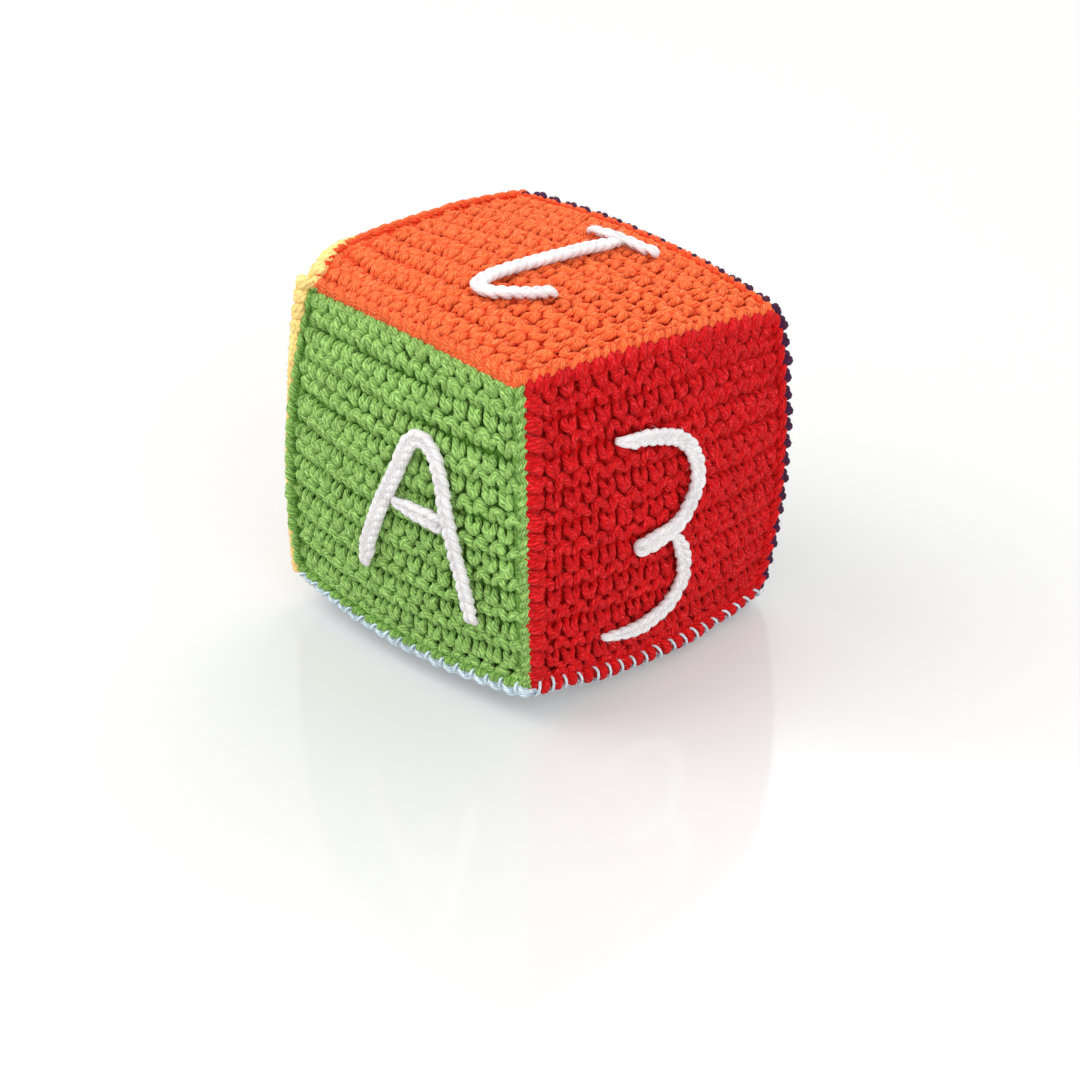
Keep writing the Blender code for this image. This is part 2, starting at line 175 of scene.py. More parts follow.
# One stitch of each strand, as places across in stitch widths, up in row heights, heights in mm and
# shares of the yarn's thickness. The right side of a single crochet row shows a V with a full tip, the
# wrong side a hump on two spread legs, with a knot lying over it.
V_STITCH_SHARES = (
    (-0.02, -0.48, -2.2, 0.95), (-0.09, -0.33, -1.10, 1.12), (-0.16, -0.12, -0.72, 1.15),
    (-0.21, 0.10, -0.75, 1.02), (-0.25, 0.29, -1.00, 0.80), (-0.24, 0.42, -2.0, 0.72),
    (0.00, 0.44, -3.0, 0.70), (0.24, 0.42, -2.0, 0.72), (0.25, 0.29, -1.00, 0.80),
    (0.21, 0.10, -0.75, 1.02), (0.16, -0.12, -0.72, 1.15), (0.09, -0.33, -1.10, 1.12),
    (0.02, -0.48, -2.2, 0.95), (0.50, -0.58, -3.1, 0.70),
)
LEG_STITCH_SHARES = (
    (-0.36, -0.43, -2.3, 0.80), (-0.35, -0.29, -1.15, 0.98), (-0.29, -0.07, -0.85, 1.08),
    (-0.16, 0.16, -0.78, 1.12), (0.00, 0.25, -1.0, 1.10), (0.16, 0.16, -0.78, 1.12),
    (0.29, -0.07, -0.85, 1.08), (0.35, -0.29, -1.15, 0.98), (0.36, -0.43, -2.3, 0.80),
    (0.50, -0.55, -3.1, 0.70),
)
KNOT_STITCH_SHARES = (
    (-0.50, 0.18, -3.0, 0.80), (-0.30, 0.30, -1.9, 0.85), (-0.10, 0.40, -1.05, 0.92),
    (0.10, 0.36, -1.00, 0.92), (0.28, 0.20, -1.7, 0.85),
)
# One chain stitch, as places along and across in stitch lengths and half widths, and heights in half
# heights: from its tip, out along one side, over the front and back along the other side
CHAIN_STITCH_SHARES = (
    (-0.28, -0.02, -0.55), (-0.02, -0.20, -0.15), (0.25, -0.42, 0.22), (0.55, -0.60, 0.34),
    (0.85, -0.66, 0.22), (1.10, -0.55, -0.10), (1.24, -0.26, -0.42), (1.27, 0.00, -0.55),
    (1.24, 0.26, -0.42), (1.10, 0.55, -0.10), (0.85, 0.66, 0.22), (0.55, 0.60, 0.34),
    (0.25, 0.42, 0.22), (-0.02, 0.20, -0.15), (-0.28, 0.02, -0.55),
)


# The height in mm from which each plain part's painted shade is read: lower is painted darker, and a stray
# fibre is painted pale, as a painted highlight
PLAIN_PAINTED_SHADE_DEPTHS = {
    "stray fibre": 1.0, "filling": 0.0, "sewing thread": -0.7, "edging core": -1.0, "seam core": -1.1,
    "cord core": -1.6, "row ends": -1.9, "fabric": -2.3,
}
# The same for wound yarn, painted darker below and lighter on top: at its lowest, and its rise to the top of
# a turn or for each half height
EDGING_PAINTED_SHADE_DEPTHS = (-1.6, 0.9)
CHAIN_PAINTED_SHADE_DEPTHS = (-1.3, 1.6)

SHORTEST = 1e-12  # no vector is divided by less
SMALLEST_SQUARE = 1e-18
LANE_MARGIN = 0.02  # on each side of a strand's lane in the bake map

# Sides round a strand of yarn and round a stray fibre, and steps along each line, grid or stretch
STRAND_SIDES = 8
FIBRE_SIDES = 4
STITCH_STEPS = 2
FIGURE_STEPS = 12
EDGING_STEPS = 14
SEAM_CORE_STEPS = 40
FABRIC_STEPS = 30
FILLING_STEPS = 24

# Ways to start a frame from that no strand runs along: added to a panel's normal, and for a chain
OFF_NORMAL = 0.01
OFF_CHAIN = np.array((0.3, 0.5, 0.8))

# Stray fibres: how many stand out of each piece, the lowest height in mm that they start at, how deep
# they root, the least and greatest length and lift, where their middle is between lift and drift, and
# their thickness at root, middle and tip, as shares
FIBRE_COUNTS = {"panel": 1500, "seam": 220, "cord": 120}
FIBRE_DEEPEST = -1.5
FIBRE_ROOT = 0.15 * MM
FIBRE_LENGTH_SHARES = (0.4, 1.0)
FIBRE_LIFT_SHARES = (0.1, 0.5)
FIBRE_BEND_SHARES = (0.6, 0.35)
FIBRE_TAPER_SHARES = (1.0, 0.8, 0.33)

# Behind the stitches: the fabric's front and its inset from them, and the strands that end the rows
FABRIC_DEPTH = 2.0 * MM
FABRIC_INSET = 0.4 * MM
ROW_END_DEPTH = 1.8 * MM
ROW_END_RADIUS = 1.5 * MM
FLOOR_RISE = 0.3 * MM  # what lies lower is pressed into this rise above the floor

# Lumps of the filling: the waves along each axis of a cube, and their shifts
FILLING_WAVES = (23, 19, 21)
FILLING_SHIFTS = (0, 1, 2)

# How unevenly the seams' turns are spaced and how unevenly they swell, in shares of a turn
SEAM_UNEVEN_SHARE = 0.08
SEAM_SWELL_SHARE = 0.13

# An edging: how far each bold turn swells, how much wider than high it winds, the boldness past which its
# yarn grows no thicker, the share of the seam in which an end dives and how deep, and its core's radius
EDGING_LUMP_SHARE = 0.15
EDGING_WIDTH_SHARE = 1.25
EDGING_BOLDEST = 1.2
EDGING_DIVE_SHARE = 0.03
EDGING_DIVE = 2.5 * MM
EDGING_CORE_SHARE = 0.8
EDGING_CORE_LEAST = 0.2 * MM

# A chain cord: how uneven its loops are, where the first one starts, how near its yarn comes to the ends,
# how far the first and last loops draw in, how wide a loop's curve gets between its marks, and its core
CHAIN_HAND = 0.045
CHAIN_START_SHARE = 0.2
CHAIN_END_SHARE = 0.4
CHAIN_DRAW_SHARES = (0.35, 0.15)
CHAIN_WIDEST_SHARE = 0.68
CHAIN_CORE_RADIUS = 1.05 * MM
CHAIN_CORE_RISE = 0.1 * MM

# Yarn: its plies, the length in which one climbs round it, patches of dye, cells of fibre noise round the
# yarn and in each ply length, how far plies and fibres stand out, how much deeper in colour its painted
# shade gets, as for light that passes the dye twice, and how much paler single fibres are painted, as a
# painted highlight
PLIES = 5
PLY_LENGTH = 7 * MM
DYE_PATCH = 6 * MM
FIBRE_CELLS = (9.0, 6.0, 1.0)
PLY_RELIEF = 0.2 * MM
FIBRE_RELIEF = 0.35 * MM
PAINTED_SHADE_POWER = 1.1
PAINTED_HIGHLIGHT_SHARE = 0.18
FIBRE_PAINTED_SHADE_AND_PLIES = (1.0, 0.3)  # the filling's own, like a yarn's
CARDED_LENGTH = 20 * MM

# Each soft lamp: where it hangs, its side and its power in watts
LAMPS = {
    "key": ((-0.60, -0.60, 1.0), 0.9, 8.8),
    "fill": ((0.9, -0.4, 0.6), 0.9, 5.8),
    "back": ((-0.3, 0.9, 1.3), 1.0, 7.5),
}
SURROUND_COLOUR = (1.0, 1.0, 1.0, 1.0)
SURROUND_STRENGTH = 0.92
FLOOR_REACH = 3.0
IMAGE_SENSOR_MM = 36.0
NEAREST_SHOWN = 10 * MM


def linear(hex_colour):
    """Turn an sRGB hex colour into linear red, green and blue."""
    shares = [int(hex_colour[place:place + 2], 16) / 255 for place in (1, 3, 5)]
    return tuple(s / 12.92 if s <= 0.04045 else ((s + 0.055) / 1.055) ** 2.4 for s in shares)


def length_property(name, description, default_mm):
    """Declare a length that is shown with its unit."""
    return bpy.props.FloatProperty(
        name=name, description=description, default=default_mm * MM, min=0.0, precision=5,
        unit="LENGTH", subtype="DISTANCE")


def colour_property(name, description, hex_colour):
    """Declare a colour, kept linear."""
    return bpy.props.FloatVectorProperty(
        name=name, description=description, default=linear(hex_colour), size=3, min=0.0, max=1.0,
        subtype="COLOR")


class SOFTBLOCK_PG_form(bpy.types.PropertyGroup):
    """The stuffed block's form."""
    panel_side: length_property("Panel side", "From corner to corner of a panel, along its seam", 89.5)
    seam_bow: length_property("Seam bow", "How far the middle of a seam stands out past its corners", 2.9)
    panel_crown: length_property("Panel crown", "How far a panel stands out past its seams' bows", 2.5)
    rest_flat: length_property("Rest flat", "How deep the floor presses the underside's crown flat", 1.2)
    panel_thickness: length_property("Panel thickness", "Crocheted fabric, front to back", 3.0)
    filling_gap: length_property("Filling gap", "Between the panels and the filling", 0.5)
    filling_lump: length_property("Filling lump", "How high the lumps of the fibre stand", 0.2)


class SOFTBLOCK_PG_yarn(bpy.types.PropertyGroup):
    """The yarn, the stitches and the cords."""
    stitches: bpy.props.IntProperty(
        name="Stitches", description="Single crochet stitches across a panel", default=17, min=4)
    rows: bpy.props.IntProperty(
        name="Rows", description="Rows of single crochet up a panel", default=18, min=4)
    yarn_radius: length_property("Yarn radius", "Half the thickness of the panels' yarn", 1.07)
    band_relief: length_property("Band relief", "How far a pair of rows swells out of its grooves", 0.12)
    hand: bpy.props.FloatProperty(
        name="Hand", description="How uneven the stitches are, in shares of a stitch", default=0.055,
        min=0.0, max=0.2, subtype="FACTOR")
    # Real cotton fibre is about a fifth as thick, too fine to show
    fibre_radius: length_property("Fibre radius", "Half the thickness of a stray fibre", 0.04)
    fibre_length: length_property("Fibre length", "The longest stray fibre", 1.7)
    rim: length_property("Rim", "From the block's edge to the outermost stitches", 1.3)
    seam_yarn_radius: length_property("Seam yarn radius", "Half the thickness of the edging's yarn", 1.05)
    seam_coil_radius: length_property("Seam coil radius", "How far edging yarn winds round its line", 1.15)
    seam_spread: length_property("Seam spread", "From the block's edge to each line of edging", 1.5)
    seam_sink: length_property("Seam sink", "How deep the edging's line lies below the skin", 0.7)
    seam_core_radius: length_property("Seam core radius", "Half the thickness of the strand in a seam", 1.85)
    chain_yarn_radius: length_property("Chain yarn radius", "Half the thickness of the cords' yarn", 1.08)
    cord_width: length_property("Cord width", "Chain cord, side to side", 5.2)
    cord_height: length_property("Cord height", "Chain cord, front to back", 2.6)
    cord_stitch: length_property("Cord stitch", "Length of one chain stitch", 2.9)
    cord_gap: length_property("Cord gap", "Between a figure's cord and its panel", 0.3)


class SOFTBLOCK_PG_colours(bpy.types.PropertyGroup):
    """Dyed cotton, lit side."""
    green: colour_property("Green", "Leaf green yarn", "#9CC76B")
    red: colour_property("Red", "Bright red yarn", "#CC050E")
    orange: colour_property("Orange", "Orange yarn", "#F06D36")
    yellow: colour_property("Yellow", "Pale yellow yarn", "#F4D488")
    purple: colour_property("Purple", "Dark purple yarn", "#41183A")
    blue: colour_property("Blue", "Light blue yarn", "#D8E9F3")
    white: colour_property("White", "White cord", "#DCD9DA")
    fibre: colour_property("Fibre", "Polyester filling", "#EFEDE8")
    floor: colour_property("Floor", "Glossy white table", "#BDBDBC")


class SOFTBLOCK_PG_stage(bpy.types.PropertyGroup):
    """Camera and light."""
    azimuth: bpy.props.FloatProperty(
        name="Azimuth", description="Camera's turn round the block", default=math.radians(44.0),
        subtype="ANGLE")
    elevation: bpy.props.FloatProperty(
        name="Elevation", description="Camera's height angle", default=math.radians(29.9),
        subtype="ANGLE")
    distance: length_property("Distance", "Camera from its aim", 638.0)
    aim_right: length_property("Aim right", "Aim to the right of the block's middle", 2.1)
    aim_below: length_property("Aim below", "Aim below the block's middle, across the view", 28.1)
    lens_widths: bpy.props.FloatProperty(
        name="Lens widths", description="Focal length in image widths", default=2.2, min=0.5)


PROPERTY_GROUPS = {
    "soft_block_form": SOFTBLOCK_PG_form,
    "soft_block_yarn": SOFTBLOCK_PG_yarn,
    "soft_block_colours": SOFTBLOCK_PG_colours,
    "soft_block_stage": SOFTBLOCK_PG_stage,
}


def unit(vectors):
    """Scale vectors to length one."""
    return vectors / np.maximum(np.linalg.norm(vectors, axis=-1, keepdims=True), SHORTEST)


def square_to(vectors, way):
    """Take out of vectors what lies along a way of length one."""
    return vectors - np.sum(vectors * way, axis=-1, keepdims=True) * way


def mirrored(vectors, way):
    """Mirror vectors in the plane that a way stands square to."""
    size = np.maximum(np.sum(way * way, axis=-1, keepdims=True), SMALLEST_SQUARE)
    return vectors - 2 * np.sum(way * vectors, axis=-1, keepdims=True) / size * way


def distances_along(lines):
    """Give each point's distance along its line from the line's start."""
    steps = np.linalg.norm(np.diff(lines, axis=-2), axis=-1)
    return np.concatenate((np.zeros_like(steps[..., :1]), np.cumsum(steps, axis=-1)), axis=-1)


def read_along(places, distances, rows):
    """Read rows of points or ways at places along a line, straight between one row and the next."""
    return np.stack([np.interp(places, distances, column) for column in rows.T], axis=-1)


def smooth_curve(marks, steps, whole=True):
    """Run a smooth curve through marks. The last mark is left out unless the curve is whole.

    The marks are carried straight on by one at each end. Each stretch is a cubic, and its slope at a
    mark is half the step from the mark before to the mark after.
    """
    marks = np.concatenate((2 * marks[..., :1, :] - marks[..., 1:2, :], marks,
                            2 * marks[..., -1:, :] - marks[..., -2:-1, :]), axis=-2)
    stretches = marks.shape[-2] - 3
    before, start, end, after = (marks[..., first:first + stretches, None, :] for first in range(4))
    share = (np.arange(steps) / steps)[:, None]
    curve = (start + share * (end - before) / 2
             + share**2 * (before - 2.5 * start + 2 * end - after / 2)
             + share**3 * (1.5 * (start - end) + (after - before) / 2))
    curve = curve.reshape(*marks.shape[:-2], -1, marks.shape[-1])
    return np.concatenate((curve, marks[..., -2:-1, :]), axis=-2) if whole else curve


class Skin:
    """The stuffed block's skin, and the layers above and below it.

    A point of a cube, -1 to 1, is carried out along each axis by half a side plus its height and its
    bows. A bow is one minus the square of another coordinate, taken singly along the seams and
    multiplied over a panel. Each corner's slack is then added, fading linearly towards its neighbours,
    and the raised edge's shift, fading as a square across the top and down the side.
    """

    search_steps = 41
    search_share = 0.5  # half width of the square in which the underside's lowest point is sought

    def __init__(self, form):
        self.half = form.panel_side / 2
        self.bow = form.seam_bow
        self.crown = form.panel_crown
        self.floor = 0.0
        span = np.linspace(-self.search_share, self.search_share, self.search_steps) * self.half
        across, up = np.meshgrid(span, span)
        lowest = self.on_panel("blue", across, up, 0.0)[..., 2].min()
        self.floor = lowest + form.rest_flat

    def place(self, cube_points, height):
        """Carry cube points to a height above the skin, with the floor at zero."""
        points = np.asarray(cube_points, dtype=float)
        fall = 1.0 - points**2
        placed = np.empty_like(points)
        for axis in range(3):
            first, second = fall[..., (axis + 1) % 3], fall[..., (axis + 2) % 3]
            reach = (self.half + np.asarray(height) + self.bow * (first + second)
                     + self.crown * first * second)
            placed[..., axis] = points[..., axis] * reach
        for corner, shares in CORNER_SLACK_SHARES.items():
            nearness = np.prod((1 + points * np.array(corner)) / 2, axis=-1)
            placed += nearness[..., None] * np.array(shares) * 2 * self.half
        raised = np.clip(-2 * points[..., 0] - 1, 0, 1)**2 * np.clip(points[..., 2], 0, 1)**2
        raised = raised * np.interp(points[..., 1], RAISED_EDGE_PLACES, RAISED_EDGE_AMOUNTS)
        placed += raised[..., None] * np.array(RAISED_EDGE_SHARES) * 2 * self.half
        placed[..., 2] -= self.floor
        return placed

    def on_panel(self, panel, across, up, height):
        """Give the point at lengths across and up from a panel's middle."""
        normal, right, top = PANEL_FRAMES[panel]
        across, up = np.broadcast_arrays(across, up)
        cube = normal + across[..., None] / self.half * right + up[..., None] / self.half * top
        return self.place(cube, height)


def sweep(lines, radii, normals, sides=STRAND_SIDES):
    """Carry a ring along each line, on frames that turn as little as they can.

    A point is the line's own point plus its radius times the cosine of its turn along the frame's
    normal and the sine along the binormal. Each frame is the one before it, mirrored twice, which is
    how a frame follows a line without twisting. The ends are closed by quads.
    """
    strands, stations = lines.shape[:2]
    tangents = unit(np.gradient(lines, axis=1))
    frames = np.empty_like(lines)
    frames[:, 0] = unit(square_to(normals, tangents[:, 0]))
    for station in range(stations - 1):
        step = lines[:, station + 1] - lines[:, station]
        turn = tangents[:, station + 1] - mirrored(tangents[:, station], step)
        frames[:, station + 1] = mirrored(mirrored(frames[:, station], step), turn)
    frames = unit(frames)
    across = np.cross(tangents, frames)
    angle = np.arange(sides) * 2 * math.pi / sides
    ring = np.cos(angle)[:, None] * frames[:, :, None] + np.sin(angle)[:, None] * across[:, :, None]
    points = lines[:, :, None] + np.broadcast_to(radii, lines.shape[:2])[..., None, None] * ring

    index = np.arange(strands * stations * sides).reshape(strands, stations, sides)
    onward = np.roll(index, -1, axis=2)
    quads = np.stack((index[:, :-1], onward[:, :-1], onward[:, 1:], index[:, 1:]), axis=-1)
    length = distances_along(lines)
    near, far = (np.broadcast_to(ends[..., None], quads.shape[:3])
                 for ends in (length[:, :-1], length[:, 1:]))
    low, high = (np.broadcast_to(np.arange(sides) / sides + ahead, quads.shape[:3])
                 for ahead in (0, 1 / sides))
    maps = np.stack((np.stack((near, near, far, far), -1), np.stack((low, high, high, low), -1)), -1)
    lane = np.broadcast_to(np.arange(strands)[:, None, None, None], maps.shape[:4])

    cap = np.array([(0, place + 2, place + 1, place) for place in range(1, sides - 1, 2)])
    caps = np.concatenate((index[:, 0][:, cap], index[:, -1][:, cap[:, ::-1]]), axis=1)
    cap_ends = np.repeat(length[:, [0, -1]], len(cap), axis=1)
    cap_maps = np.stack((np.broadcast_to(cap_ends[..., None], caps.shape), np.zeros(caps.shape)), -1)
    cap_lane = np.broadcast_to(np.arange(strands)[:, None, None], caps.shape)
    return {
        "points": points.reshape(-1, 3),
        "quads": np.concatenate((quads.reshape(-1, 4), caps.reshape(-1, 4))),
        "map": np.concatenate((maps.reshape(-1, 2), cap_maps.reshape(-1, 2))),
        "lane": np.concatenate((lane.reshape(-1), cap_lane.reshape(-1))).astype(float),
        "lanes": strands,
        "ways": ring.reshape(-1, 3),
    }


def shaded(part, kind):
    """Give the whole of a plain part the one depth from which its painted shade is read."""
    part["depth"] = np.full(len(part["points"]), PLAIN_PAINTED_SHADE_DEPTHS[kind])
    return part


def stray_fibres(parts, count, yarn, chance):
    """Let stray fibres stand out of the yarn.

    Each starts inside the yarn below a random shallow point of its surface, passes out through it and
    bends over sideways, by chance. Its thickness falls to a third at its tip.
    """
    points, ways, depth = (
        np.concatenate([part[key] for part in parts]) for key in ("points", "ways", "depth"))
    chosen = chance.choice(np.flatnonzero(depth > FIBRE_DEEPEST), count)
    root, out = points[chosen], ways[chosen]
    drift = unit(square_to(chance.normal(size=(count, 3)), out))
    length = chance.uniform(*FIBRE_LENGTH_SHARES, (count, 1)) * yarn.fibre_length
    lift = chance.uniform(*FIBRE_LIFT_SHARES, (count, 1)) * length
    lift_share, drift_share = FIBRE_BEND_SHARES
    lines = np.stack((root - FIBRE_ROOT * out,
                      root + lift_share * lift * out + drift_share * length * drift,
                      root + lift * out + length * drift), axis=1)
    radii = yarn.fibre_radius * np.array(FIBRE_TAPER_SHARES)
    # A stray fibre is painted pale all over, as a painted highlight
    part = shaded(sweep(lines, radii, np.cross(out, drift), FIBRE_SIDES), "stray fibre")
    part["lane"] = np.zeros(len(part["lane"]))
    part["lanes"] = 1
    return part


def fabric_slab(skin, panel, reach, heights):
    """Lay a closed slab of fabric over a panel: one grid at each of two heights, joined round the rim.

    Both grids run from minus to plus reach across and up, and the rim's quads join their outer lines.
    """
    span = np.linspace(-reach, reach, FABRIC_STEPS + 1)
    across, up = np.meshgrid(span, span)
    index = np.arange(across.size).reshape(across.shape)
    front = np.stack((index[:-1, :-1], index[:-1, 1:], index[1:, 1:], index[1:, :-1]), -1).reshape(-1, 4)
    back = front[:, ::-1] + index.size
    rim = np.concatenate((index[0, :-1], index[:-1, -1], index[-1, :0:-1], index[:0:-1, 0]))
    rim_next = np.roll(rim, -1)
    walls = np.stack((rim, rim + index.size, rim_next + index.size, rim_next), -1)
    quads = np.concatenate((front, back, walls))
    share = np.tile(np.column_stack((across.ravel(), up.ravel())) / (2 * reach) + 0.5, (2, 1))
    # The slab is painted in its yarn's deep painted shade, as fabric seen only in the shade between the
    # stitches
    return shaded({
        "points": np.concatenate([skin.on_panel(panel, across, up, height).reshape(-1, 3)
                                  for height in heights]),
        "quads": quads,
        "map": share[quads].reshape(-1, 2) * 2 * reach,
        "lane": np.repeat((0.0, 1.0, 2.0), (4 * len(front), 4 * len(back), 4 * len(walls))),
        "lanes": 3,
    }, "fabric")


def add_object(name, data):
    """Add an object at the origin, unturned and unscaled."""
    made = bpy.data.objects.new(name, data)
    bpy.context.scene.collection.objects.link(made)
    return made


def add_piece(name, parts, materials):
    """Join parts into one piece at the origin, with its yarn map, its bake map and its depths.

    The bake map gives each strand a lane of its own: along the yarn across it, round the yarn up it.
    """
    mesh = bpy.data.meshes.new(name)
    offsets = np.cumsum([0] + [len(part["points"]) for part in parts[:-1]])
    mesh.from_pydata(np.concatenate([part["points"] for part in parts]), [],
                     np.concatenate([part["quads"] + offset for part, offset in zip(parts, offsets)]))
    lane_starts = np.cumsum([0] + [part["lanes"] for part in parts])
    longest = max(part["map"][:, 0].max() for part in parts)
    bake = []
    for part, first in zip(parts, lane_starts):
        along, across = part["map"].T
        across = across / max(across.max(), SHORTEST)
        lane = first + part["lane"] + LANE_MARGIN + (1 - 2 * LANE_MARGIN) * across
        bake.append(np.column_stack((along / longest, lane / lane_starts[-1])))
    for layer, places in (("Yarn", [part["map"] for part in parts]), ("OFBake", bake)):
        mesh.uv_layers.new(name=layer).uv.foreach_set("vector", np.concatenate(places).ravel())
    depths = np.concatenate([part["depth"] for part in parts])
    mesh.attributes.new("depth", "FLOAT", "POINT").data.foreach_set("value", depths)
    for material in materials:
        mesh.materials.append(material)
    finish = np.concatenate([np.full(len(part["quads"]), part.get("finish", 0)) for part in parts])
    mesh.polygons.foreach_set("material_index", finish.astype(np.int32))
    mesh.polygons.foreach_set("use_smooth", np.ones(len(finish), dtype=bool))
    mesh.update()
    piece = add_object(name, mesh)
    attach(piece, BODY)
    return piece


def crochet(skin, yarn, panel, shares, rows, shift, chance):
    """Crochet one strand along each of the given rows.

    The stitch's marks are repeated along the row, shifted by chance, swollen by the cosine of their
    place in the pair of rows that they lie in, and joined by a smooth curve. The yarn is thinner where
    it dives behind its neighbours.
    """
    reach = skin.half - yarn.rim
    width, height = 2 * reach / yarn.stitches, 2 * reach / yarn.rows
    marks = np.array(shares)
    columns = np.arange(yarn.stitches) - (yarn.stitches - 1) / 2 + shift
    stitches = (len(rows), yarn.stitches)
    loose = chance.normal(0.0, yarn.hand, (*stitches, len(marks), 2))
    lean = chance.normal(0.0, yarn.hand, (*stitches, 1))
    fat = 1 + chance.normal(0.0, yarn.hand, (*stitches, 1))
    wave = np.cumsum(chance.normal(0.0, yarn.hand, stitches), axis=1)
    wave = (wave - wave.mean(axis=1, keepdims=True))[..., None] / 2
    across = (columns[:, None] + marks[:, 0] + loose[..., 0] + lean * marks[:, 1]) * width
    level = np.array(rows)[:, None, None] + 0.5 + marks[:, 1] + loose[..., 1] + wave
    up = level * height - reach
    band = -np.cos(math.pi * level)
    relief = PANEL_RELIEF_SHARES.get(panel, 1.0)
    out = STITCH_TOP + relief * (marks[:, 2] * MM - STITCH_TOP + yarn.band_relief * band)
    out = out + chance.normal(0.0, yarn.hand * MM, across.shape)
    thick = marks[:, 3] * fat * yarn.yarn_radius
    table = np.stack((across, up, out, thick), axis=-1).reshape(len(rows), -1, 4)
    curves = smooth_curve(table, STITCH_STEPS, whole=False)
    lines = skin.on_panel(panel, curves[..., 0], curves[..., 1], curves[..., 2])
    part = sweep(lines, curves[..., 3], PANEL_FRAMES[panel][0] + OFF_NORMAL)
    # The yarn's height is kept as its depth, so deeper yarn is painted darker: painted shade
    part["depth"] = np.repeat(curves[..., 2].ravel() / MM, STRAND_SIDES)
    return part


def row_ends(skin, yarn, panel):
    """Carry a thick strand up each side of a panel, behind the ends of its rows."""
    reach = skin.half - yarn.rim
    across = np.array(((-reach,), (reach,)))
    up = np.linspace(-reach, reach, 2 * yarn.rows + 1)
    lines = skin.on_panel(panel, across, up, -ROW_END_DEPTH)
    return shaded(sweep(lines, ROW_END_RADIUS, PANEL_FRAMES[panel][0]), "row ends")


def press_on_floor(parts):
    """Squeeze what lies below a small rise above the floor into that rise.

    Such a level becomes the rise times the exponential of minus the number of rises it lies below it.
    """
    for part in parts:
        level = part["points"][:, 2]
        squeezed = FLOOR_RISE * np.exp((level - FLOOR_RISE) / FLOOR_RISE)
        part["points"][:, 2] = np.where(level < FLOOR_RISE, squeezed, level)


def add_node(tree, kind, settings=None, links=None):
    """Add a node, set its named settings and sockets, and link its inputs."""
    node = tree.nodes.new(kind)
    for name, value in (settings or {}).items():
        if isinstance(name, str) and hasattr(node, name):
            setattr(node, name, value)
        else:
            node.inputs[name].default_value = value
    for name, source in (links or {}).items():
        tree.links.new(source, node.inputs[name])
    return node


def bare_material(name):
    """Add a material that has no nodes yet."""
    material = bpy.data.materials.new(name)
    material.use_nodes = True
    material.node_tree.nodes.clear()
    return material


